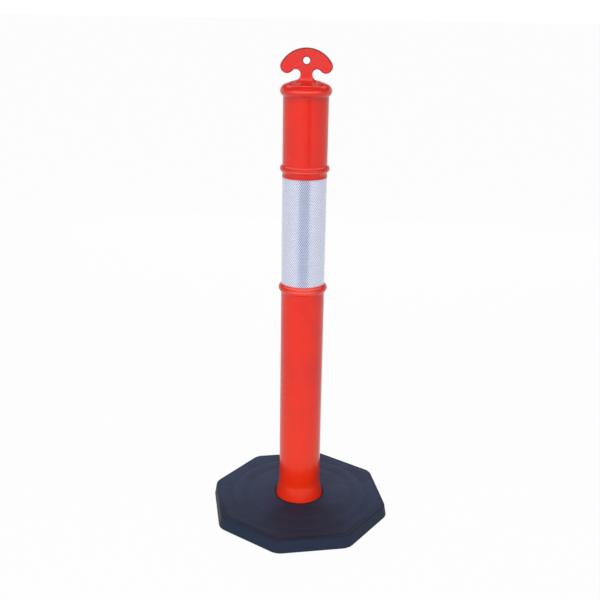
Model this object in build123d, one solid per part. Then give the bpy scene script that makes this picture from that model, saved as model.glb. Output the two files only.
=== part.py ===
from build123d import *
import math
import os

# T-top chain stanchion: a blow-moulded post with a flat T handle, a reflective
# sleeve bonded into a recess of the post, and a heavy octagonal rubber base that
# drops over the top of the post and sits round its conical flare.
#
# The post is one hollow moulding. It is kept as three nodes that meet face to
# face, foot, tube and T top, so that each has a simple shape of its own.
#
# Frame: +Z up the post, origin at the middle of the underside, which stands on
# the ground. The T handle lies in the XZ plane and faces -Y. Millimetres.

# ---- rubber base
base_across_flats = 414.0
base_turn = 9.5              # degrees that the front flat is turned about the post
base_corner_radius = 38.5
base_wall_draft = 10.0       # degrees
base_rim_z = 30.0
base_rim_width = 32.0        # flat border of the top face
base_edge_round = 4.0
base_foot_round = 1.5
base_outer_step_run = 9.0    # soft step from the border up to the middle land
base_middle_z = 32.5
base_collar_width = 75.0     # raised middle, from the hole to its soft step
base_inner_step_run = 22.0
base_collar_edge_z = 35.0
base_collar_z = 36.0         # top of the base right at the post
base_hole_round = 2.0
base_clearance = 0.6         # post's flare to the base's hole, all round
foot_pocket_gap = 1.5        # foot lip to its pocket in the underside

# ---- post: tube and rings
tube_radius = 50.0
wall_thickness = 3.0

lower_ring_z = 574.9
lower_ring_rise = 6.0        # crest over the tube
lower_ring_round = 9.0
upper_ring_rise = 5.45
upper_ring_round = 8.0
top_ring_rise = 6.45
top_ring_round = 11.0        # rounding of its underside
ring_root_round = 3.0        # hollow fillet where a ring meets the tube

# ---- post: flare and closed foot
flare_top_z = 72.0
flare_blend_radius = 60.0    # soft bend between the flare and the tube
ring_pass_clearance = 1.1    # flare over the largest ring, so the base lifts off
foot_lip_width = 9.9
foot_lip_height = 5.0
foot_pad_width = 20.0        # flat ring of the foot that stands on the ground
foot_dish_depth = 8.0        # hollow of the closed bottom inside that ring
foot_dish_slope = 8.0        # how far the dish's wall leans inwards
blow_hole_radius = 12.5      # left by the blow pin, drains rain water
foot_over_flare = 10.0       # the foot node ends this far over the flare

# ---- reflective sleeve
sleeve_length = 244.0
sleeve_film = 0.5
sleeve_bond_gap = 0.05       # layer of adhesive under the film
sleeve_recess_depth = 0.9
sleeve_end_gap = 0.3         # film to the ends of its recess
sleeve_over_ring = 2.73      # room for the lower ring's upper fillet under the film
sleeve_lap_width = 12.0
sleeve_lap_angle = 90.0      # the lap joint is at the back, towards +Y
shoulder_height = 4.0        # small shoulder over the sleeve
shoulder_step = 0.5          # it stands proud of the tube by this
shoulder_to_ring = 15.0      # its top to the crest of the ring over it

# ---- post: top length, dome and T handle
top_length = 166.2           # upper ring's crest to the top ring's crest
dome_rise = 24.7             # top ring's crest to the top of the dome
dome_round = 115.0
handle_height = 65.2         # over the dome
handle_thickness = 12.0
handle_arc_radius = 63.0     # big arc over the top of the T
handle_edge_round = 3.0
wing_tip_radius = 14.8
neck_half_width = 13.4
neck_root_round = 6.0
notch_radius = 9.8           # hook notch under each wing
hole_radius = 7.75
hole_below_top = 26.6
hole_edge_round = 2.5
top_under_ring = 14.0        # the T top node starts this far under its ring's crest

# ---- sizes that follow from those
recess_radius = tube_radius - sleeve_recess_depth
lower_ring_radius = tube_radius + lower_ring_rise
upper_ring_radius = tube_radius + upper_ring_rise
top_ring_radius = tube_radius + top_ring_rise

flare_slope = (top_ring_rise + ring_pass_clearance) / (flare_top_z - base_collar_z)


def flare_radius(z):
    """Radius of the post's conical flare at a height."""
    return tube_radius + (flare_top_z - z) * flare_slope


def ring_half(rise, rounding):
    """Half height of a round ring where it stands this far out of a cylinder."""
    return math.sqrt(2 * rounding * rise - rise * rise)


foot_lip_radius = flare_radius(foot_lip_height) + foot_lip_width
recess_bottom_z = (lower_ring_z + ring_half(lower_ring_radius - recess_radius, lower_ring_round)
                   + sleeve_over_ring)
sleeve_bottom_z = recess_bottom_z + sleeve_end_gap
recess_top_z = sleeve_bottom_z + sleeve_length + sleeve_end_gap
shoulder_top_z = recess_top_z + shoulder_height
upper_ring_z = shoulder_top_z + shoulder_to_ring
top_ring_z = upper_ring_z + top_length
dome_top_z = top_ring_z + dome_rise
handle_top_z = dome_top_z + handle_height


def arc_middle(centre, start, end):
    """Point half way along the short arc from start to end."""
    a = math.atan2(start[1] - centre[1], start[0] - centre[0])
    b = math.atan2(end[1] - centre[1], end[0] - centre[0])
    turn = (b - a + math.pi) % (2 * math.pi) - math.pi
    r = math.hypot(start[0] - centre[0], start[1] - centre[1])
    middle = a + turn / 2
    return centre[0] + r * math.cos(middle), centre[1] + r * math.sin(middle)


def corners_at(sketch, places):
    """The sketch's corners that lie at these (x, z) places."""
    return [v for v in sketch.vertices()
            if any(math.hypot(v.X - x, v.Z - z) < 0.01 for x, z in places)]


# ---------------------------------------------------------------- post

def dome_shoulder():
    """Arc from the top ring's crest to the dome, tangent to both: centre and meeting point."""
    sphere_z = dome_top_z - dome_round
    drop = sphere_z - top_ring_z
    rounding = ((dome_round ** 2 - top_ring_radius ** 2 - drop ** 2)
                / (2 * (dome_round - top_ring_radius)))
    centre = (top_ring_radius - rounding, top_ring_z)
    reach = dome_round - rounding
    meet = (centre[0] / reach * dome_round,
            sphere_z + (centre[1] - sphere_z) / reach * dome_round)
    return centre, meet


def ring_arc(z, radius, rounding, low_radius, high_radius):
    """Start, crest and end of a ring's outer arc between two cylinders."""
    return ((low_radius, z - ring_half(radius - low_radius, rounding)), (radius, z),
            (high_radius, z + ring_half(radius - high_radius, rounding)))


def post_section():
    """Half section of the post's outside, closed on the axis."""
    lower = ring_arc(lower_ring_z, lower_ring_radius, lower_ring_round, tube_radius, recess_radius)
    upper = ring_arc(upper_ring_z, upper_ring_radius, upper_ring_round, tube_radius, tube_radius)
    top = ring_arc(top_ring_z, top_ring_radius, top_ring_round, tube_radius, tube_radius)
    crest = top[1]
    under_crest = arc_middle((top_ring_radius - top_ring_round, top_ring_z), top[0], crest)
    shoulder_centre, dome_meet = dome_shoulder()
    over_crest = arc_middle(shoulder_centre, crest, dome_meet)
    dome_top = (0, dome_top_z)
    on_dome = arc_middle((0, dome_top_z - dome_round), dome_meet, dome_top)

    pad_inner = foot_lip_radius - foot_pad_width
    shoulder_radius = tube_radius + shoulder_step
    flare_top = (tube_radius, flare_top_z)
    shoulder_top = (tube_radius, shoulder_top_z)
    with BuildSketch(Plane.XZ) as section:
        with BuildLine():
            Polyline((0, foot_dish_depth), (pad_inner - foot_dish_slope, foot_dish_depth),
                     (pad_inner, 0), (foot_lip_radius, 0),
                     (foot_lip_radius, foot_lip_height),
                     (flare_radius(foot_lip_height), foot_lip_height), flare_top, lower[0])
            ThreePointArc(*lower)
            Polyline(lower[2], (recess_radius, recess_top_z), (shoulder_radius, recess_top_z),
                     (shoulder_radius, shoulder_top_z), shoulder_top, upper[0])
            ThreePointArc(*upper)
            Line(upper[2], top[0])
            ThreePointArc(top[0], under_crest, crest)
            ThreePointArc(crest, over_crest, dome_meet)
            ThreePointArc(dome_meet, on_dome, dome_top)
            Line(dome_top, (0, foot_dish_depth))
        make_face()
    section = section.sketch
    roots = corners_at(section, (lower[0], lower[2], upper[0], upper[2], top[0]))
    section = fillet(roots, ring_root_round)
    return fillet(corners_at(section, [flare_top]), flare_blend_radius)


def turned(section):
    """Solid of revolution of a half section in the XZ plane."""
    return revolve(section, axis=Axis.Z, revolution_arc=360)


def post_cavity(section):
    """Inside of the shell: the whole section pulled in by the wall all round."""
    whole = section + mirror(section, about=Plane.YZ)
    inner = offset(whole, amount=-wall_thickness, kind=Kind.INTERSECTION)
    half = Plane.XZ * Pos(foot_lip_radius / 2, dome_top_z / 2) * Rectangle(foot_lip_radius, dome_top_z)
    return turned(inner & half)


def handle_face():
    """Outline of the T: big arc, round wing tips, hook notches and neck."""
    arc_centre = (0, handle_top_z - handle_arc_radius)
    tip_x = top_ring_radius - wing_tip_radius
    reach = handle_arc_radius - wing_tip_radius
    tip = (tip_x, arc_centre[1] + math.sqrt(reach ** 2 - tip_x ** 2))
    notch_x = neck_half_width + notch_radius
    touch = wing_tip_radius + notch_radius
    notch = (notch_x, tip[1] - math.sqrt(touch ** 2 - (tip_x - notch_x) ** 2))

    arc_meet = (tip[0] * handle_arc_radius / reach,
                arc_centre[1] + (tip[1] - arc_centre[1]) * handle_arc_radius / reach)
    notch_meet = (notch[0] + (tip[0] - notch[0]) * notch_radius / touch,
                  notch[1] + (tip[1] - notch[1]) * notch_radius / touch)
    neck_meet = (neck_half_width, notch[1])
    neck_foot = (neck_half_width, dome_top_z - wall_thickness)
    tip_side = (tip[0] + wing_tip_radius, tip[1])
    top = (0, handle_top_z)
    with BuildSketch(Plane.XZ) as face:
        with BuildLine():
            Polyline((0, neck_foot[1]), neck_foot, neck_meet)
            ThreePointArc(neck_meet, arc_middle(notch, neck_meet, notch_meet), notch_meet)
            ThreePointArc(notch_meet, tip_side, arc_meet)
            ThreePointArc(arc_meet, arc_middle(arc_centre, arc_meet, top), top)
            Line(top, (0, neck_foot[1]))
        make_face()
    return face.sketch + mirror(face.sketch, about=Plane.YZ)


def handle():
    """Flat T with rounded rims and a rounded hole, down into the dome's wall."""
    plate = extrude(handle_face(), amount=handle_thickness / 2, both=True)
    inside_dome = dome_top_z - wall_thickness
    rims = [e for e in plate.edges()
            if abs(abs(e.center().Y) - handle_thickness / 2) < 0.01 and e.center().Z > inside_dome + 0.1]
    plate = fillet(rims, handle_edge_round)
    bore = Pos(0, 0, handle_top_z - hole_below_top) * Rot(90, 0, 0)
    plate -= bore * Cylinder(hole_radius, 2 * handle_thickness)
    mouths = [e for e in plate.edges().filter_by(GeomType.CIRCLE) if abs(e.radius - hole_radius) < 0.01]
    return fillet(mouths, hole_edge_round)


def post():
    """The whole moulding."""
    section = post_section()
    body = turned(section) + handle()
    roots = [e for e in body.edges()
             if 0.1 < dome_top_z - e.center().Z < wall_thickness
             and math.hypot(e.center().X, e.center().Y) < 2 * neck_half_width]
    body = fillet(roots, neck_root_round)
    body -= post_cavity(section)
    return body - Cylinder(blow_hole_radius, 4 * foot_dish_depth)


def post_nodes():
    """The moulding cut level into its foot, its tube and its T top."""
    foot_end = Plane.XY.offset(flare_top_z + foot_over_flare)
    tube_end = Plane.XY.offset(top_ring_z - top_under_ring)
    whole = post()
    upper = split(whole, bisect_by=foot_end, keep=Keep.TOP)
    return {"post_foot": split(whole, bisect_by=foot_end, keep=Keep.BOTTOM),
            "post_tube": split(upper, bisect_by=tube_end, keep=Keep.BOTTOM),
            "t_top": split(upper, bisect_by=tube_end, keep=Keep.TOP)}


# ---------------------------------------------------------------- reflective sleeve

def reflective_sleeve():
    """Film wrapped once round its recess, with its ends lapped."""
    inner = recess_radius + sleeve_bond_gap
    outer = inner + sleeve_film
    band = Cylinder(outer, sleeve_length) - Cylinder(inner, sleeve_length)
    lap = Cylinder(outer + sleeve_film, sleeve_length) - Cylinder(inner + sleeve_film / 2, sleeve_length)
    lap &= Rot(0, 0, sleeve_lap_angle) * Pos(outer, 0, 0) * Box(outer, sleeve_lap_width, sleeve_length)
    return Pos(0, 0, sleeve_bottom_z + sleeve_length / 2) * (band + lap)


# ---------------------------------------------------------------- rubber base

def base_top_section():
    """Half section of everything under the base's gently stepped top face."""
    hole = flare_radius(base_collar_z) + base_clearance
    rim_edge = base_across_flats / 2 - base_rim_z * math.tan(math.radians(base_wall_draft))
    collar_edge = hole + base_collar_width - base_inner_step_run
    outer_step = rim_edge - base_rim_width
    beyond = base_across_flats
    level = ((1, 0), (1, 0))
    with BuildSketch(Plane.XZ) as section:
        with BuildLine():
            Polyline((0, 0), (0, base_collar_z), (hole, base_collar_z))
            Spline((hole, base_collar_z), (collar_edge, base_collar_edge_z), tangents=level)
            Spline((collar_edge, base_collar_edge_z), (hole + base_collar_width, base_middle_z),
                   tangents=level)
            Line((hole + base_collar_width, base_middle_z),
                 (outer_step - base_outer_step_run, base_middle_z))
            Spline((outer_step - base_outer_step_run, base_middle_z), (outer_step, base_rim_z),
                   tangents=level)
            Polyline((outer_step, base_rim_z), (beyond, base_rim_z), (beyond, 0), (0, 0))
        make_face()
    return section.sketch


def rubber_base():
    with BuildSketch() as plan:
        RegularPolygon(base_across_flats / 2, 8, major_radius=False, rotation=22.5 + base_turn)
        fillet(plan.vertices(), base_corner_radius)
    block = extrude(plan.sketch, amount=base_collar_z, taper=base_wall_draft)
    block &= turned(base_top_section())
    near_wall = base_across_flats / 2 - base_rim_width / 2
    outline = [e for e in block.edges() if math.hypot(e.center().X, e.center().Y) > near_wall]
    block = fillet([e for e in outline if abs(e.center().Z - base_rim_z) < 0.01], base_edge_round)
    outline = [e for e in block.edges() if math.hypot(e.center().X, e.center().Y) > near_wall]
    block = fillet([e for e in outline if abs(e.center().Z) < 0.01], base_foot_round)

    top_radius = flare_radius(base_collar_z) + base_clearance
    floor_radius = flare_radius(0) + base_clearance
    block -= Pos(0, 0, base_collar_z / 2) * Cone(floor_radius, top_radius, base_collar_z)
    pocket_height = foot_lip_height + foot_pocket_gap
    block -= (Pos(0, 0, pocket_height / 2)
              * Cylinder(foot_lip_radius + foot_pocket_gap, pocket_height))
    mouth = [e for e in block.edges().filter_by(GeomType.CIRCLE)
             if abs(e.radius - top_radius) < 0.01 and abs(e.center().Z - base_collar_z) < 0.01]
    return fillet(mouth, base_hole_round)


os.makedirs("parts", exist_ok=True)
nodes = {**post_nodes(), "reflective_sleeve": reflective_sleeve(), "rubber_base": rubber_base()}
for name, solid in nodes.items():
    export_step(solid, f"parts/{name}.step")
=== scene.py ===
import math

import bmesh
import bpy
from mathutils import Matrix, Vector


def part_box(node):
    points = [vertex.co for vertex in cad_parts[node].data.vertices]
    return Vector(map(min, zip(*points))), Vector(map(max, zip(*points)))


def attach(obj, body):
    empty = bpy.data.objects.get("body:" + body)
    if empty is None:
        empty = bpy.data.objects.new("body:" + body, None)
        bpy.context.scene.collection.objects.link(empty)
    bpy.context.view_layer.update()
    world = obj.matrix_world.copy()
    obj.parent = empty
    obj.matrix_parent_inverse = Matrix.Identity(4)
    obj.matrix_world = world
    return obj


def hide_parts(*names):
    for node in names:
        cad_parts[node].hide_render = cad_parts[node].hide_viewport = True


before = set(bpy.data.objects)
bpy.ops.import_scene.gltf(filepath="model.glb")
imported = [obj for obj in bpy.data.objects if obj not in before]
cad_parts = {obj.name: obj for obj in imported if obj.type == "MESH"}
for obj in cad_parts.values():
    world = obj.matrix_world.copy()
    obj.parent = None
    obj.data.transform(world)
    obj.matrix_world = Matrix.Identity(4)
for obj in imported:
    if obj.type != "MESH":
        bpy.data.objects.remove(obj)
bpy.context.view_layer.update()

MM = 0.001


# ---- Camera
# A normal lens at the eye height of a person two metres off, who looks a little
# down at the post. The camera leans by a degree.

camera_distance = 1.8706
camera_height = 1.1701
camera_pitch = math.radians(18.566)
camera_yaw = math.radians(-0.173)
camera_roll = math.radians(0.966)
camera_lens = 50.85            # millimetres
camera_sensor = 36.0

camera = bpy.data.objects.new("camera", bpy.data.cameras.new("camera"))
camera.data.lens = camera_lens
camera.data.sensor_width = camera_sensor
camera.matrix_world = (Matrix.Translation((0, -camera_distance, camera_height))
                       @ Matrix.Rotation(-camera_yaw, 4, "Z")
                       @ Matrix.Rotation(math.pi / 2 - camera_pitch, 4, "X")
                       @ Matrix.Rotation(camera_roll, 4, "Z"))
bpy.context.scene.collection.objects.link(camera)
bpy.context.scene.camera = camera


# ---- Post
# One blow-moulded polyethylene shell with an even wall: a dished foot with a lip,
# a conical flare, a straight tube with two rings, and the sleeve's recess. The
# T top is blown with it, and joins the tube's last loop in the next section.

tube_radius = 50.0 * MM
wall = 3.0 * MM
turns = 160                    # steps of a whole turn
sharp_edge = math.radians(35)  # edges that bend more than this stay crisp

_, foot_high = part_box("post_foot")
lip_radius = foot_high.x
lip_height = 5.0 * MM
lip_round = 1.0 * MM
lip_width = 9.9 * MM
pad_width = 20.0 * MM
dish_depth = 8.0 * MM
dish_lean = 8.0 * MM
blow_hole = 12.5 * MM
flare_top = 72.0 * MM
flare_blend = 60.0 * MM

sleeve_low, sleeve_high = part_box("reflective_sleeve")
recess_radius = 49.1 * MM
recess_gap = 0.3 * MM
shoulder_radius = 50.5 * MM
shoulder_height = 4.0 * MM
shoulder_round = 0.8 * MM
shoulder_lead = 0.7 * MM       # the tube starts this far over the shoulder
shoulder_to_ring = 15.0 * MM
root_round = 3.0 * MM
lower_ring_radius = 56.0 * MM
lower_ring_round = 9.0 * MM
lower_ring_z = 574.9 * MM
upper_ring_radius = 55.45 * MM
upper_ring_round = 8.0 * MM

top_low, top_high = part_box("t_top")
crest_radius = top_high.x
crest_over_top = 14.0 * MM     # top ring's crest over the foot of the T top
crest_underside = 11.0 * MM
dome_rise = 24.7 * MM
dome_round = 115.0 * MM
dome_inside_from = 67          # degrees, where the inside of the dome begins
join_over_top = 1.0 * MM
crest_z = top_low.z + crest_over_top
dome_top = crest_z + dome_rise
join_z = top_low.z + join_over_top


def arc(centre, radius, start, end, count):
    """Points of an arc, with its angles in degrees."""
    angles = [math.radians(start + (end - start) * i / count) for i in range(count + 1)]
    return [(centre[0] + radius * math.cos(a), centre[1] + radius * math.sin(a)) for a in angles]


def run(start, end, count):
    """Evenly spaced points on a straight stretch, with its far end."""
    return [tuple(a + (b - a) * i / count for a, b in zip(start, end)) for i in range(1, count + 1)]


def ring(z, radius, rounding, below, above, root):
    """A round ring, with a hollow fillet to the cylinder below it and above it."""
    halves = []
    for side, cylinder in ((-1, below), (1, above)):
        reach = cylinder + root - radius + rounding
        rise = math.sqrt((rounding + root) ** 2 - reach ** 2)
        lean = math.degrees(math.atan2(rise, reach))
        fillet = arc((cylinder + root, z + side * rise), root, 180, 180 + side * lean, 4)
        halves.append(fillet + arc((radius - rounding, z), rounding, side * lean, 0, 7)[1:])
    return halves[0], halves[1][::-1][1:]


def spun(bm, profile, steps):
    """Turns a profile of (radius, height) right round the Z axis."""
    verts = [bm.verts.new((r, 0, z)) for r, z in profile]
    edges = [bm.edges.new(pair) for pair in zip(verts, verts[1:])]
    bmesh.ops.spin(bm, geom=verts + edges, axis=(0, 0, 1), cent=(0, 0, 0), dvec=(0, 0, 0),
                   angle=math.tau, steps=steps, use_merge=True)
    bmesh.ops.remove_doubles(bm, verts=bm.verts, dist=1e-6)


def as_object(name, bm):
    """A mesh object, smooth but for its sharp edges."""
    for e in bm.edges:
        e.smooth = e.calc_face_angle(0) < sharp_edge
    mesh = bpy.data.meshes.new(name)
    bm.to_mesh(mesh)
    bm.free()
    mesh.polygons.foreach_set("use_smooth", [True] * len(mesh.polygons))
    thing = bpy.data.objects.new(name, mesh)
    bpy.context.scene.collection.objects.link(thing)
    return thing


shoulder_low = sleeve_high.z + recess_gap
shoulder_top = shoulder_low + shoulder_height
upper_ring_z = shoulder_top + shoulder_to_ring
cone_foot = (lip_radius - lip_width, lip_height)
flare_slope = (cone_foot[0] - tube_radius) / (flare_top - lip_height)
flare_lean = math.degrees(math.atan(flare_slope))
blend_z = flare_top + flare_blend * math.tan(math.radians(flare_lean) / 2)

pad_inner = lip_radius - pad_width
outside = [(blow_hole, dish_depth), (pad_inner - dish_lean, dish_depth), (pad_inner, 0)]
outside += arc((lip_radius - lip_round, lip_round), lip_round, -90, 0, 3)
outside += arc((lip_radius - lip_round, lip_height - lip_round), lip_round, 0, 90, 3)
blend = arc((tube_radius + flare_blend, blend_z), flare_blend, 180 + flare_lean, 180, 4)
outside += [cone_foot] + run(cone_foot, blend[0], 5) + blend[1:]
lower_half, lower_over = ring(lower_ring_z, lower_ring_radius, lower_ring_round,
                              tube_radius, recess_radius, root_round)
outside += run(outside[-1], lower_half[0], 34) + lower_half[1:] + lower_over
outside += run(outside[-1], (recess_radius, shoulder_low), 6)
shoulder_hub = shoulder_radius - shoulder_round
outside += arc((shoulder_hub, shoulder_low + shoulder_round), shoulder_round, -90, 0, 3)
outside += arc((shoulder_hub, shoulder_top - shoulder_round), shoulder_round, 0, 65, 3)
upper_half, upper_over = ring(upper_ring_z, upper_ring_radius, upper_ring_round,
                              tube_radius, tube_radius, root_round)
outside += [(tube_radius, shoulder_top + shoulder_lead)] + upper_half + upper_over
outside += run(outside[-1], (tube_radius, join_z), 12)

inside = [(blow_hole, dish_depth + wall), (pad_inner - dish_lean, dish_depth + wall)]
inside += [(r - wall, z) for r, z in outside if z > dish_depth + 2 * wall]
inside += [(crest_radius - 2 * wall, crest_z)]
# Known fault: this inside wall isn't lowered under the scoop that the T top's section
# cuts in the dome, so for 22 mm on each side of the middle it stands over the outer skin.
inside += arc((0, dome_top - dome_round), dome_round - wall, dome_inside_from, 90, 6)

tube_bm = bmesh.new()
spun(tube_bm, inside[::-1] + outside, turns)
tube_mesh = bpy.data.meshes.new("tube")
tube_bm.to_mesh(tube_mesh)
tube_bm.free()


# ---- T top
# The top ring, the dome and the flat T handle, blown with the tube. The handle's
# neck flares at its foot into a shallow scoop in front of it and behind, which a
# narrow hollow ends. They are fused in one skin and joined to the tube's end.

handle_half = 6.0 * MM         # half of its thickness
handle_arc = 63.0 * MM
handle_edge = 3.0 * MM
tip_radius = 14.8 * MM
neck_half = 12.9 * MM
neck_skirt = 10.0 * MM         # the flare at its foot starts this high over the dome
neck_flare = 11.0 * MM         # and widens by this on each side
skirt_steps = 7
skirt_sink = 1.25              # of its height, so that it ends inside the dome
notch_radius = 9.8 * MM
eye_radius = 7.4 * MM
eye_drop = 26.6 * MM
eye_edge = 2.5 * MM
neck_round = 9.0 * MM          # fillet of its front and back into the scoop
scoop_depth = 8.8 * MM         # more than the wall: see the known fault in the post's section
scoop_fall = 0.035             # slope away from the neck
scoop_inset = 2.0 * MM         # it fades from here inside the neck's side
scoop_fade = 22.0 * MM         # to here outside it
scoop_end = 0.8                # of the way to the hollow
hollow_x = 39.0 * MM
hollow_y = 48.5 * MM
hollow_depth = 1.3 * MM
hollow_half = 0.085            # of its distance from the middle
hollow_from = 18.0 * MM        # it deepens over this stretch, to the front and back
hollow_to = 34.0 * MM
skin_voxel = 1.0 * MM
steep = 1.2                    # radians, between the handle's faces and its rims
bend_side = 1.5 * MM           # beyond the neck's side, where the slopes begin
bend_front = 22.0 * MM
bend_rise = 9.0 * MM           # over the dome's top and under it
slope_foot = 9.0 * MM          # over the top ring's crest
slope_head = 1.0 * MM          # over the dome's top

tip_x = crest_radius - tip_radius
arc_z = top_high.z - handle_arc
tip_z = arc_z + math.sqrt((handle_arc - tip_radius) ** 2 - tip_x ** 2)
notch_x = neck_half + notch_radius
notch_z = tip_z - math.sqrt((tip_radius + notch_radius) ** 2 - (tip_x - notch_x) ** 2)
tip_end = math.degrees(math.atan2(tip_z - arc_z, tip_x))
tip_start = math.degrees(math.atan2(notch_z - tip_z, notch_x - tip_x))
skirt_top = dome_top + neck_skirt
eye_z = top_high.z - eye_drop

outline = [(neck_half, skirt_top)] + arc((notch_x, notch_z), notch_radius, 180, 180 + tip_start, 10)
outline += arc((tip_x, tip_z), tip_radius, tip_start, tip_end, 22)[1:]
outline += arc((0, arc_z), handle_arc, tip_end, 90, 14)[1:]
outline += [(-x, z) for x, z in outline[::-1][1:]]
eye = arc((0, eye_z), eye_radius, 0, 360, 40)[:-1]


def smooth_step(value, start, end):
    share = min(1.0, max(0.0, (value - start) / (end - start)))
    return share * share * (3 - 2 * share)


def loop(bm, points):
    verts = [bm.verts.new((x, -handle_half, z)) for x, z in points]
    return [bm.edges.new(pair) for pair in zip(verts, verts[1:] + verts[:1])]


head = bmesh.new()
bmesh.ops.triangle_fill(head, use_beauty=True, edges=loop(head, outline) + loop(head, eye))
head_back = bmesh.ops.extrude_face_region(head, geom=head.faces[:])["geom"]
bmesh.ops.translate(head, verts=[v for v in head_back if isinstance(v, bmesh.types.BMVert)],
                    vec=(0, 2 * handle_half, 0))
bmesh.ops.recalc_face_normals(head, faces=head.faces)
for rounding, round_eye in ((handle_edge, False), (eye_edge, True)):
    rims = []
    for e in head.edges:
        x, y, z = (e.verts[0].co + e.verts[1].co) / 2
        at_eye = math.hypot(x, z - eye_z) < 1.2 * eye_radius
        at_rim = e.calc_face_angle(0) > steep and abs(y) > 0.9 * handle_half
        at_rim = at_rim and z > skirt_top + 1e-5
        if at_rim and at_eye == round_eye:
            rims.append(e)
    bmesh.ops.bevel(head, geom=rims, offset=rounding, segments=4, profile=0.5, affect="EDGES",
                    material=-1)

under = [f for f in head.faces if all(v.co.z < skirt_top + 1e-5 for v in f.verts)]
bmesh.ops.delete(head, geom=under, context="FACES")
for step in range(1, skirt_steps + 1):
    last, now = (math.radians(90 * s / skirt_steps) for s in (step - 1, step))
    spread = neck_flare * (math.cos(last) - math.cos(now))
    rim = [e for e in head.edges if e.is_boundary]
    pulled = bmesh.ops.extrude_edge_only(head, edges=rim)["geom"]
    for v in [v for v in pulled if isinstance(v, bmesh.types.BMVert)]:
        v.co.x += spread * max(-1, min(1, v.co.x / (neck_half - handle_edge)))
        v.co.z -= skirt_sink * neck_skirt * (math.sin(now) - math.sin(last))
bmesh.ops.holes_fill(head, edges=[e for e in head.edges if e.is_boundary])

scoop_z = dome_top - scoop_depth
sphere_z = dome_top - dome_round
crown_round = ((dome_round ** 2 - crest_radius ** 2 - (sphere_z - crest_z) ** 2)
               / (2 * (dome_round - crest_radius)))
crown_x = crest_radius - crown_round
dome_lean = math.degrees(math.atan2(crest_z - sphere_z, crown_x))
top_half, _ = ring(crest_z, crest_radius, crest_underside, tube_radius, tube_radius, root_round)
body_foot = join_z - 4 * skin_voxel
profile = [(0, body_foot), (tube_radius, body_foot)] + top_half
profile += arc((crown_x, crest_z), crown_round, 0, dome_lean, 16)[1:]
profile += arc((0, sphere_z), dome_round, dome_lean, 90, 50)[1:]
dome = bmesh.new()
spun(dome, profile, turns)
for v in dome.verts:
    if v.co.z > crest_z + 2 * MM:
        x, y = abs(v.co.x), abs(v.co.y)
        reach = math.hypot(x / hollow_x, y / hollow_y)
        scoop = scoop_z - scoop_fall * max(0, y - handle_half)
        beside = smooth_step(x, neck_half - scoop_inset, neck_half + scoop_fade)
        out = min(neck_round, max(0, y - handle_half)) / neck_round
        fall = math.sqrt(1 - (1 - out) ** 2)
        inside_hollow = 1 - smooth_step(reach, scoop_end, 1.0)
        v.co.z += (scoop - v.co.z) * fall * (1 - beside) * inside_hollow
        in_hollow = 1 - smooth_step(abs(reach - 1 + hollow_half), 0, hollow_half)
        v.co.z -= hollow_depth * in_hollow * smooth_step(y, hollow_from, hollow_to)
dome_mesh = bpy.data.meshes.new("dome")
dome.to_mesh(dome_mesh)
dome.free()
head.from_mesh(dome_mesh)
bmesh.ops.recalc_face_normals(head, faces=head.faces)

parts = as_object("parts_of_head", head)
skin = parts.modifiers.new("skin", "REMESH")
skin.mode = "VOXEL"
skin.voxel_size = skin_voxel
depsgraph = bpy.context.evaluated_depsgraph_get()
fused = bpy.data.meshes.new_from_object(parts.evaluated_get(depsgraph))
bpy.data.objects.remove(parts)

shell = bmesh.new()
shell.from_mesh(fused)
for _ in range(4):
    bmesh.ops.smooth_vert(shell, verts=shell.verts, factor=0.5, use_axis_x=True, use_axis_y=True,
                          use_axis_z=True)
bend = [v for v in shell.verts if abs(v.co.x) < neck_half + bend_side and abs(v.co.y) < bend_front
        and dome_top - bend_rise < v.co.z < dome_top + bend_rise]
slopes = [v for v in shell.verts if abs(v.co.x) > neck_half + bend_side
          and crest_z + slope_foot < v.co.z < dome_top + slope_head]
for _ in range(10):
    bmesh.ops.smooth_vert(shell, verts=bend + slopes, factor=0.5, use_axis_x=True, use_axis_y=True,
                          use_axis_z=True)
bmesh.ops.bisect_plane(shell, geom=shell.verts[:] + shell.edges[:] + shell.faces[:],
                       plane_co=(0, 0, join_z + skin_voxel), plane_no=(0, 0, 1), clear_inner=True)
shell.from_mesh(tube_mesh)
open_rims = [e for e in shell.edges if e.is_boundary]
bmesh.ops.bridge_loops(shell, edges=open_rims)
bmesh.ops.recalc_face_normals(shell, faces=shell.faces)
post = as_object("post", shell)
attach(post, "post")
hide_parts("post_foot", "post_tube", "t_top")


class Wire:
    """A shader socket on which Python's operators add Math nodes."""

    def __init__(self, tree, socket):
        self.tree = tree
        self.socket = socket

    def math(self, operation, *others):
        values = dict(enumerate((self,) + others))
        return self.tree.node("ShaderNodeMath", {"operation": operation}, values)

    def __add__(self, other):
        return self.math("ADD", other)

    def __sub__(self, other):
        return self.math("SUBTRACT", other)

    def __mul__(self, other):
        return self.math("MULTIPLY", other)

    def __rsub__(self, other):
        return self.tree.node("ShaderNodeMath", {"operation": "SUBTRACT"}, {0: other, 1: self})

    __radd__ = __add__
    __rmul__ = __mul__

    def band(self, start, end):
        """0 up to start, 1 from end on, and smooth in between."""
        return self.tree.node("ShaderNodeMapRange", {"interpolation_type": "SMOOTHSTEP"},
                              {"Value": self, "From Min": start, "From Max": end})

    def line(self, centre, half):
        """1 at the centre value, and 0 from half a width away."""
        return 1 - self.math("SUBTRACT", centre).math("ABSOLUTE").band(0, half)


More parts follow.
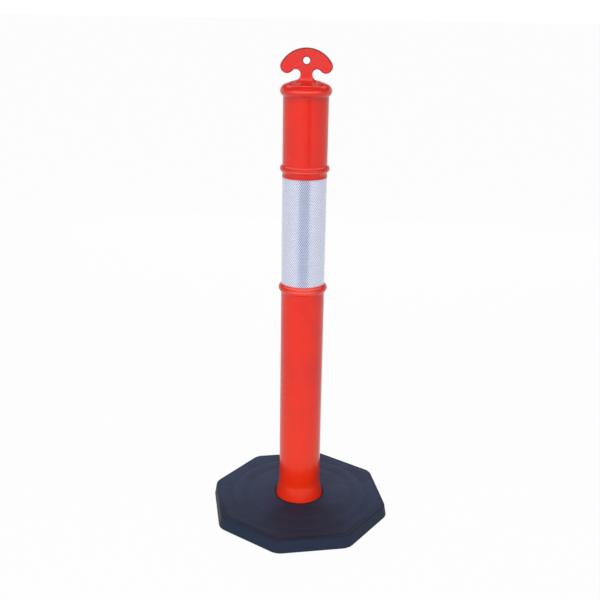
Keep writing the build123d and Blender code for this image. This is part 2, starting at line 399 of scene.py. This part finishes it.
class Tree:
    """The node tree of a material or a world."""

    def __init__(self, owner):
        owner.use_nodes = True
        self.tree = owner.node_tree

    def node(self, kind, settings, sockets, output=0):
        made = self.tree.nodes.new(kind)
        for key, value in settings.items():
            setattr(made, key, value)
        for key, value in sockets.items():
            if isinstance(value, Wire):
                self.tree.links.new(value.socket, made.inputs[key])
            else:
                made.inputs[key].default_value = value
        return Wire(self, made.outputs[output])

    def into(self, node, socket, wire):
        self.tree.links.new(wire.socket, self.tree.nodes[node].inputs[socket])


class Finish(Tree):
    """A Principled material on the piece's own coordinates in metres."""

    def __init__(self, name, **sockets):
        self.material = bpy.data.materials.new(name)
        super().__init__(self.material)
        for key, value in sockets.items():
            socket = self.tree.nodes["Principled BSDF"].inputs[key.replace("_", " ")]
            socket.default_value = value
        self.place = self.node("ShaderNodeTexCoord", {}, {}, "Object")

    def axis(self, name):
        return self.node("ShaderNodeSeparateXYZ", {}, {0: self.place}, name)

    def stretched(self, x, y, z):
        return self.node("ShaderNodeMapping", {}, {"Vector": self.place, "Scale": (x, y, z)})

    def noise(self, size, detail, where=None, rough=0.5):
        """Cloudy noise with patches of about this size in metres, from 0 to 1."""
        return self.node("ShaderNodeTexNoise", {}, {"Vector": where or self.place, "Scale": 1 / size,
                                                    "Detail": detail, "Roughness": rough})

    def mix(self, share, first, second):
        """Colour that goes from the first to the second, each a wire or (r, g, b)."""
        first, second = (c if isinstance(c, Wire) else (*c, 1) for c in (first, second))
        return self.node("ShaderNodeMix", {"data_type": "RGBA"}, {0: share, 6: first, 7: second}, 2)

    def put_on(self, piece, colour, roughness, relief):
        """Feeds the shader its colour, roughness and relief in metres, and dresses the piece."""
        self.into("Principled BSDF", "Base Color", colour)
        self.into("Principled BSDF", "Roughness", roughness)
        bump = self.node("ShaderNodeBump", {}, {"Height": relief, "Distance": 1.0})
        self.into("Principled BSDF", "Normal", bump)
        piece.data.materials.clear()
        piece.data.materials.append(self.material)


red = (0.84, 0.021, 0.006)
crimson = (0.75, 0.020, 0.010)
orange = (0.97, 0.033, 0.003)
# Pale red of real scuffs, also used below for painted highlights.
scuff_and_highlight = (0.93, 0.17, 0.13)
# Dark red for painted shade: in the crown's hollow, on the handle's rims and under the rings.
shade_red = (0.20, 0.012, 0.010)
handle_pink = (0.76, 0.035, 0.030)
warm_from, warm_to = 0.42, 0.10        # metres up, the tube is more orange to its foot
crimson_from, crimson_to = 0.98, 1.03        # and more crimson to its top
crown_foot, crown_full = 8 * MM, 11 * MM       # over the top ring's crest
crown_front, crown_end = 20 * MM, 34 * MM      # in front of the post's middle, and behind
hollow_shade, hollow_highlight = 0.90, 1.0            # of the way out to the hollow
handle_full = 2 * MM                   # over the skirt's top
neck_full = 8 * MM
rim_from, rim_to = 0.05 * MM, 0.9 * MM         # inside the handle's faces
eye_shade_from, eye_shade_to = 3.6 * MM, 1.6 * MM
edge_shade_from, edge_shade_to = 6.0 * MM, 1.5 * MM
highlight_middle, highlight_side = 14 * MM, 50 * MM      # the rings' painted highlights are strongest in front and behind
mould_line_z = 386 * MM

plastic = Finish("blown_polyethylene", IOR=1.5, Specular_IOR_Level=0.40)
x, y, z = (plastic.axis(name) for name in "XYZ")
clouds = plastic.noise(0.09, 3)
streaks = plastic.noise(0.012, 3, plastic.stretched(1, 1, 0.04))
grain = plastic.noise(0.0016, 2)
colour = plastic.mix(clouds.band(0.35, 0.65), crimson, red)
# Partly painted light: the brighter orange foot stands in for more light and less white reflection
# low on the tube, the crimson top for the pale reflection high up.
colour = plastic.mix(z.band(warm_from, warm_to) * 0.8, colour, orange)
colour = plastic.mix(z.band(crimson_from, crimson_to) * 0.4, colour, crimson)
scratches = plastic.noise(0.004, 4, plastic.stretched(1, 1, 0.06), 0.65)
scuffs = scratches.band(0.62, 0.74) * plastic.noise(0.11, 2).band(0.50, 0.66)
colour = plastic.mix(scuffs * 0.35, colour, scuff_and_highlight)
across = plastic.node("ShaderNodeVectorMath", {"operation": "LENGTH"},
                      {0: plastic.stretched(1 / hollow_x, 1 / hollow_y, 0)}, "Value")
on_crown = z.band(crest_z + crown_foot, crest_z + crown_full) * z.band(skirt_top, dome_top)
to_front = y.math("ABSOLUTE").band(crown_front, crown_end)
# Painted shade just inside the crown's hollow, and a painted highlight on its rim.
colour = plastic.mix(across.line(hollow_shade, 0.12) * on_crown * to_front * 0.15, colour, shade_red)
colour = plastic.mix(across.line(hollow_highlight, 0.06) * on_crown * to_front * 0.50, colour, scuff_and_highlight)
on_handle = z.band(skirt_top, skirt_top + handle_full)
on_neck = z.band(dome_top, skirt_top + neck_full)
# The neck and handle are painted a pinker red. Part of it is a painted reflection on their faces.
colour = plastic.mix(on_neck * (0.55 + clouds * 0.7).math("MINIMUM", 1.0), colour, handle_pink)
# Painted shade and dark reflection on the handle's rims, along its top edge and round the mouth of
# its eye.
handle_rim = y.math("ABSOLUTE").band(handle_half - rim_from, handle_half - rim_to)
from_eye = plastic.node("ShaderNodeCombineXYZ", {}, {0: x, 2: z - eye_z})
from_eye = plastic.node("ShaderNodeVectorMath", {"operation": "LENGTH"}, {0: from_eye}, "Value")
eye_ring = from_eye.band(eye_radius + eye_shade_from, eye_radius + eye_shade_to) * 0.65
from_arc = plastic.node("ShaderNodeCombineXYZ", {}, {0: x, 2: z - arc_z})
from_arc = plastic.node("ShaderNodeVectorMath", {"operation": "LENGTH"}, {0: from_arc}, "Value")
top_edge = from_arc.band(handle_arc - edge_shade_from, handle_arc - edge_shade_to) * 0.7
handle_shade = (handle_rim * 0.55).math("MAXIMUM", eye_ring).math("MAXIMUM", top_edge)
colour = plastic.mix(handle_shade * on_handle, colour, shade_red)
# Painted highlights on the rings' crests and flanks, in the pale scuff red, mottled by the clouds.
ring_highlight_bands = ((upper_ring_z - 3.0 * MM, 2.6 * MM, 1.0),    # height, half width and strength
          (upper_ring_z + 5.8 * MM, 2.6 * MM, 1.2),
          (lower_ring_z + 1.0 * MM, 2.8 * MM, 0.6),
          (lower_ring_z + 7.6 * MM, 3.0 * MM, 1.7),
          (lower_ring_z + 1.0 * MM, 14.0 * MM, 0.35),
          (crest_z + 0.9 * MM, 3.2 * MM, 0.8))
ring_highlight = sum(z.line(height, half) * strength for height, half, strength in ring_highlight_bands)
ring_highlight = ring_highlight * (1 - x.math("ABSOLUTE").band(highlight_middle, highlight_side) * 0.9)
beside_neck = x.math("ABSOLUTE").band(neck_half, 2 * neck_half)
# A painted highlight on the bend at the neck's foot.
neck_highlight = z.line(dome_top - 1 * MM, 9 * MM) * (1 - beside_neck)
colour = plastic.mix(neck_highlight * 0.22, colour, scuff_and_highlight)
colour = plastic.mix(ring_highlight * (0.25 + clouds * 0.6), colour, scuff_and_highlight)
# Painted shadow under the top ring.
ring_shadow = z.band(crest_z - 28 * MM, crest_z - 12 * MM)
ring_shadow = ring_shadow * z.band(crest_z - 5 * MM, crest_z - 9 * MM)
colour = plastic.mix(ring_shadow * 0.22, colour, shade_red)
# Painted shade on the upper ring's flank between its painted highlights, and on the shoulder over
# the film.
ring_flank_shade = z.line(upper_ring_z + 1.4 * MM, 2.2 * MM) + z.line(shoulder_low + 3 * MM, 9 * MM)
colour = plastic.mix(ring_flank_shade * 0.18, colour, shade_red)
parting = y.line(0, 0.5 * MM)
mould_line = z.line(mould_line_z, 0.7 * MM)
relief = streaks * 0.16 * MM + clouds * 0.25 * MM + grain * 0.010 * MM
relief = relief + parting * 0.12 * MM + mould_line * 0.08 * MM - scuffs * 0.03 * MM
plastic.put_on(post, colour, 0.16 + clouds * 0.05 + scuffs * 0.25, relief)


# ---- Reflective sleeve
# A band of prismatic reflective film, half a millimetre thick, wrapped once round
# the recess of the post and lapped over its own end at the back. Its clear face
# is welded to the prisms in a fine diamond lattice.

film = 0.5 * MM
film_bond = 0.05 * MM          # layer of adhesive under the film
film_edge = 0.12 * MM
film_inner = recess_radius + film_bond
lap_width = 12.0 * MM
lap_ramp = 3.0 * MM
film_height = sleeve_high.z - sleeve_low.z
film_length = math.tau * film_inner + lap_width
film_columns, film_rows = 300, 20

strip = bmesh.new()
bmesh.ops.create_grid(strip, x_segments=film_columns, y_segments=film_rows, size=0.5)
skin_back = bmesh.ops.extrude_face_region(strip, geom=strip.faces[:])["geom"]
bmesh.ops.translate(strip, verts=[v for v in skin_back if isinstance(v, bmesh.types.BMVert)],
                    vec=(0, 0, 1))
bmesh.ops.recalc_face_normals(strip, faces=strip.faces)
strip_rims = [e for e in strip.edges if e.calc_face_angle(0) > steep]
for v in strip.verts:
    along = (v.co.x + 0.5) * film_length
    up = v.co.y + 0.5
    outer = v.co.z
    rise = smooth_step(along, film_length - lap_width - lap_ramp, film_length - lap_width)
    radius = film_inner + film * (outer + rise)
    angle = math.pi / 2 + (along - lap_width / 2) / film_inner
    v.co = (radius * math.cos(angle), radius * math.sin(angle), sleeve_low.z + up * film_height)
bmesh.ops.bevel(strip, geom=strip_rims, offset=film_edge, segments=2, profile=0.5, affect="EDGES",
                material=-1)
bmesh.ops.recalc_face_normals(strip, faces=strip.faces)
sleeve = as_object("reflective_film", strip)
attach(sleeve, "post")
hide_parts("reflective_sleeve")

lattice_across = 4.4 * MM
lattice_up = 6.6 * MM
silver = (0.625, 0.665, 0.790)
silver_lilac = (0.630, 0.650, 0.800)
weld = (0.580, 0.625, 0.765)
seam_grey = (0.30, 0.36, 0.52)
nick_violet = (0.20, 0.20, 0.42)
end_pink = (0.80, 0.40, 0.50)          # painted reflection of the post's red on the ends of the film
seam_along = -2.2 * MM                 # from the middle of the front
seam_top, seam_full = 760 * MM, 640 * MM       # heights between which the seam fades in
end_upper, end_lower = 4.5 * MM, 5.0 * MM

prism = Finish("prismatic_film", Metallic=0.7, IOR=1.5)
x, y, z = (prism.axis(name) for name in "XYZ")
around = prism.node("ShaderNodeMath", {"operation": "ARCTAN2"}, {0: x, 1: y * -1})
along = around * film_inner


def welds(side):
    """One set of the lattice's slanting welds."""
    phase = along * (1 / lattice_across) + z * (side / lattice_up)
    return 1 - phase.math("PINGPONG", 0.5).band(0, 0.22)


lattice = welds(1).math("MAXIMUM", welds(-1))
patches = prism.noise(0.03, 2)
pull = prism.noise(0.006, 2, prism.stretched(1, 1, 0.02))
colour = prism.mix(pull.band(0.3, 0.7), silver, silver_lilac)
colour = prism.mix(lattice * patches * 0.1, colour, weld)
tile_seam = along.line(seam_along, 0.8 * MM) * z.band(seam_top, seam_full)
colour = prism.mix(tile_seam * 0.45, colour, seam_grey)
nicks = prism.noise(0.0045, 1, prism.stretched(1, 1, 0.4)).band(0.79, 0.83)
colour = prism.mix(nicks * 0.8, colour, nick_violet)
# A painted reflection of the post's red at both ends of the film.
film_ends = z.band(sleeve_high.z - end_upper, sleeve_high.z)
film_ends = film_ends + z.band(sleeve_low.z + end_lower, sleeve_low.z)
colour = prism.mix(film_ends * 0.55, colour, end_pink)
relief = pull * 0.03 * MM - lattice * 0.003 * MM - tile_seam * 0.05 * MM - nicks * 0.05 * MM
prism.put_on(sleeve, colour, 0.14 + patches * 0.06 + lattice * 0.20, relief)


# ---- Rubber base
# A heavy octagon moulded in recycled rubber, with drafted walls and rounded
# corners. Its top rises in two soft round steps to the conical hole that fits
# the post's flare, and a shallow hollow runs just inside its rolled edge.

across_flats = 414.0 * MM
base_turn = math.radians(9.5)
corner_round = 38.5 * MM
wall_draft = 10.0              # degrees
rim_z = 30.0 * MM
rim_width = 32.0 * MM
edge_round = 4.0 * MM
edge_hollow = 0.7 * MM
edge_hollow_in = 8.5 * MM
edge_hollow_half = 4.5 * MM
base_foot_round = 1.5 * MM
outer_step_run = 14.0 * MM
middle_z = 32.5 * MM
collar_width = 75.0 * MM
inner_step_run = 22.0 * MM
collar_edge_z = 35.0 * MM
collar_z = 36.0 * MM
mouth_round = 2.0 * MM
seat_gap = 0.6 * MM
pocket_gap = 1.5 * MM
base_turns = 360


def seat_radius(z):
    """Radius of the base's conical hole at a height."""
    return tube_radius + (flare_top - z) * flare_slope + seat_gap


def soft_step(start, end, count=8):
    """Points from start to end, level at both."""
    return [(start[0] + (end[0] - start[0]) * i / count,
             start[1] + (end[1] - start[1]) * smooth_step(i, 0, count)) for i in range(1, count + 1)]


half_across = across_flats / 2
top_across = half_across - rim_z * math.tan(math.radians(wall_draft))
edge_in = edge_round * math.tan(math.radians(90 - wall_draft) / 2)
foot_in = base_foot_round * math.tan(math.radians(90 + wall_draft) / 2)
step_out = top_across - rim_width
pocket = (lip_radius + pocket_gap, lip_height + pocket_gap)
mouth = seat_radius(collar_z)
mouth_hub = seat_radius(collar_z - mouth_round) + mouth_round
hollow_at = top_across - edge_hollow_in

section = [(pocket[0], 0), pocket, (seat_radius(pocket[1]), pocket[1])]
section += run(section[-1], (mouth_hub - mouth_round, collar_z - mouth_round), 5)
section += arc((mouth_hub, collar_z - mouth_round), mouth_round, 180, 90, 4)[1:]
section += soft_step(section[-1], (mouth + collar_width - inner_step_run, collar_edge_z), 12)
section += soft_step(section[-1], (mouth + collar_width, middle_z), 12)
section += run(section[-1], (step_out - outer_step_run, middle_z), 4)
section += soft_step(section[-1], (step_out, rim_z))
section += run(section[-1], (hollow_at - edge_hollow_half, rim_z), 6)
section += soft_step(section[-1], (hollow_at, rim_z - edge_hollow), 5)
section += soft_step(section[-1], (top_across - edge_in, rim_z), 5)
section += arc((top_across - edge_in, rim_z - edge_round), edge_round, 90, wall_draft, 6)[1:]
foot_arc = arc((half_across - foot_in, base_foot_round), base_foot_round, wall_draft, -90, 4)
section += run(section[-1], foot_arc[0], 5) + foot_arc[1:]
section += run(section[-1], (pocket[0], 0), 8)


def octagon_reach(angle, apothem):
    """Distance from the axis to the rounded octagon of this apothem, in a direction."""
    half = math.pi / 8
    off = abs((angle - base_turn + half) % (2 * half) - half)
    round_here = corner_round - half_across + apothem
    inner = apothem - round_here
    if apothem * math.tan(off) <= inner * math.tan(half):
        return apothem / math.cos(off)
    hub = inner / math.cos(half)
    across_hub = hub * math.sin(half - off)
    return hub * math.cos(half - off) + math.sqrt(round_here ** 2 - across_hub ** 2)


block = bmesh.new()
spun(block, section, base_turns)
for v in block.verts:
    reach = math.hypot(v.co.x, v.co.y)
    if reach > step_out:
        shaped = smooth_step(reach, step_out, step_out + rim_width / 2)
        scale = 1 + shaped * (octagon_reach(math.atan2(v.co.y, v.co.x), reach) / reach - 1)
        v.co.x *= scale
        v.co.y *= scale
bmesh.ops.recalc_face_normals(block, faces=block.faces)
base = as_object("rubber_octagon", block)
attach(base, "base")
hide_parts("rubber_base")

rubber = (0.0215, 0.0245, 0.0470)
rubber_dusty = (0.0290, 0.0405, 0.0850)
rubber_blue = (0.0440, 0.0590, 0.1180)
rubber_wall = (0.0135, 0.0235, 0.0490)
rubber_shade = (0.0090, 0.0140, 0.0280)
swept_scale = 9                        # a swept patch in front of the post
swept_shift = (-0.15, 1.15, 0)
blue_from, blue_to = -0.10, 0.06       # metres back, where the dust turns bluer
wall_from, wall_to = 0.19, 0.20        # metres out to the octagon's walls
line_from, line_to = -0.02, -0.11      # metres to the front, where the painted shade line on the edge shows
line_fade, line_end = 0.07, 0.17       # and to the right, where it fades

tread = Finish("recycled_rubber", IOR=1.5, Specular_IOR_Level=0.22)
x, y, z = (tread.axis(name) for name in "XYZ")
flat = tread.stretched(1, 1, 0)
radius = tread.node("ShaderNodeVectorMath", {"operation": "LENGTH"}, {0: flat}, "Value")
apothem = x * 0
for wall_pair in range(4):
    facing = base_turn + wall_pair * math.pi / 4
    side = (x * math.cos(facing) + y * math.sin(facing)).math("ABSOLUTE")
    apothem = apothem.math("MAXIMUM", side)
clouds = tread.noise(0.055, 4)
fine = tread.noise(0.004, 3)
brushed = tread.noise(0.02, 4, tread.stretched(0.25, 1, 1), 0.6)
swept_spot = tread.node("ShaderNodeMapping", {}, {
    "Vector": tread.place, "Scale": (swept_scale, swept_scale, 0), "Location": swept_shift})
swept = tread.node("ShaderNodeVectorMath", {"operation": "LENGTH"}, {0: swept_spot}, "Value")
dusty = swept.band(0.35, 1.25) + clouds.band(0.35, 0.65) * 0.45 - 0.45
dusty = dusty + brushed.band(0.40, 0.70) * 0.35
dust = tread.mix(y.band(blue_from, blue_to) * (0.6 + clouds * 0.6), rubber_dusty, rubber_blue)
colour = tread.mix(dusty.math("MINIMUM", 1.0).math("MAXIMUM", 0.0), rubber, dust)
# The walls are painted darker than the top, a painted shade on the vertical faces.
on_wall = z.band(rim_z + 0.5 * MM, rim_z - 1.5 * MM) * apothem.band(wall_from, wall_to)
colour = tread.mix(on_wall * 0.9, colour, rubber_wall)
# Painted shade: a dark line along the front of the rolled edge, lines at the top's steps, and a ring
# round the hole where the flare goes in.
edge_line = apothem.line(hollow_at, 12 * MM) * z.band(rim_z - 3 * MM, rim_z - 1.5 * MM)
edge_line = edge_line * y.band(line_from, line_to) * (1 - x.band(line_fade, line_end) * 0.7)
steps = radius.line(mouth + collar_width, 14 * MM) + radius.line(step_out, 10 * MM)
gap_shade = radius.band(mouth + 8 * MM, mouth)
dark = edge_line.math("MAXIMUM", steps * 0.20).math("MAXIMUM", gap_shade)
colour = tread.mix(dark * (0.45 + clouds * 0.6), colour, rubber_shade)
relief = fine * 0.10 * MM + brushed * 0.15 * MM + clouds * 0.3 * MM
tread.put_on(base, colour, 0.52 + clouds * 0.16 + fine * 0.1, relief)


# ---- Floor and light
# A white sweep that keeps a trace of the object's shadow, in a white room. Only
# reflections see the room's dim front, its low window and skylight, and the dark
# mat on the floor in front. Four soft lights add to it: three in front, one behind.

floor_half = 300
paper_glow = 0.965             # of pure white, the rest is lit and shaded
floor_bm = bmesh.new()
bmesh.ops.create_grid(floor_bm, x_segments=1, y_segments=1, size=floor_half)
floor = as_object("floor", floor_bm)

paper_white = (0.86, 0.86, 0.86, 1)
paper = Finish("white_sweep", Specular_IOR_Level=0.0, Roughness=1.0, Base_Color=paper_white)
camera_ray = paper.node("ShaderNodeLightPath", {}, {}, "Is Camera Ray")
glossy_ray = paper.node("ShaderNodeLightPath", {}, {}, "Is Glossy Ray")
clear_ray = paper.node("ShaderNodeLightPath", {}, {}, "Is Transmission Ray")
seen = camera_ray.math("MAXIMUM", glossy_ray).math("MAXIMUM", clear_ray)
glow = paper.node("ShaderNodeEmission", {}, {"Strength": 1.0})
matt = Wire(paper, paper.tree.nodes["Principled BSDF"].outputs[0])
lifted = paper.node("ShaderNodeMixShader", {}, {0: seen * paper_glow, 1: matt, 2: glow})
paper.into("Material Output", "Surface", lifted)
floor.data.materials.append(paper.material)

mat_near = 1.45
mat_far = 60.0
mat_spread = 0.75
mat_lift = 2 * MM
mat_blue = (0.38, 0.49, 0.65)
mat_brown = (0.16, 0.10, 0.09)
mat_bm = bmesh.new()
mat_bm.faces.new([mat_bm.verts.new((side * mat_spread * reach, -reach, mat_lift))
                  for side, reach in ((-1, mat_near), (-1, mat_far), (1, mat_far), (1, mat_near))])
mat = as_object("dark_mat", mat_bm)
mat.visible_camera = False
mat.visible_diffuse = False
mat.visible_shadow = False
felt = Finish("grey_felt")
off_line = felt.axis("X").math("DIVIDE", felt.axis("Y")).math("ABSOLUTE")
shade = felt.mix(felt.axis("Y").band(-4.0, -5.5), mat_blue, mat_brown)
dull = felt.node("ShaderNodeEmission", {}, {"Color": shade})
bare = felt.node("ShaderNodeBsdfTransparent", {}, {})
felt.into("Material Output", "Surface", felt.node("ShaderNodeMixShader", {}, {
    0: off_line.band(0.35, 0.70), 1: dull, 2: bare}))
mat.data.materials.append(felt.material)

room_dim = 0.30                # of white, to the sides and in front
ceiling_dim = 0.10
window_light = 3.0             # a wide low window in front, behind the camera
skylight_light = 1.6
diffuse_light = 0.40

room_world = bpy.data.worlds.new("room")
bpy.context.scene.world = room_world
room = Tree(room_world)
direction = room.node("ShaderNodeTexCoord", {}, {}, "Generated")
y, z = (room.node("ShaderNodeSeparateXYZ", {}, {0: direction}, name) for name in "YZ")
camera_ray = room.node("ShaderNodeLightPath", {}, {}, "Is Camera Ray")
glossy_ray = room.node("ShaderNodeLightPath", {}, {}, "Is Glossy Ray")
walls = y.band(0.0, 0.70) * (1 - room_dim) + room_dim
mirrored = walls + z.band(0.10, 0.45) * (ceiling_dim - walls)
window = z.band(0.02, 0.12) * z.band(0.42, 0.22) * y.band(-0.20, -0.70)
skylight = y.band(0.08, 0.30) * z.band(0.45, 0.72)
mirrored = mirrored + window * window_light + skylight * skylight_light
strength = glossy_ray * (mirrored - diffuse_light) + diffuse_light
strength = strength + camera_ray * (1 - strength)
room.tree.nodes["Background"].inputs["Color"].default_value = (1, 1, 1, 1)
room.into("Background", "Strength", strength)


def soft_light(name, place, aim, width, height, power):
    """A rectangular light in watts that reflections don't show."""
    lamp = bpy.data.lights.new(name, "AREA")
    lamp.shape = "RECTANGLE"
    lamp.size = width
    lamp.size_y = height
    lamp.energy = power
    turn = (Vector(place) - Vector(aim)).to_track_quat("Z", "Y").to_matrix().to_4x4()
    thing = bpy.data.objects.new(name, lamp)
    thing.matrix_world = Matrix.Translation(place) @ turn
    thing.visible_glossy = False
    bpy.context.scene.collection.objects.link(thing)


soft_light("key", (-0.6, -3.3, 0.35), (0, 0, 0.3), 2.4, 1.0, 40)
soft_light("fill", (-0.3, -3.2, 1.34), (0, 0, 0.9), 4.0, 0.6, 13.5)
soft_light("top", (-0.1, -1.8, 3.3), (0, 0, 0.7), 1.4, 1.0, 31)
soft_light("back", (0.3, 3.2, 0.9), (0, 0, 0.6), 3.0, 1.0, 20)

bpy.context.scene.view_settings.view_transform = "Standard"
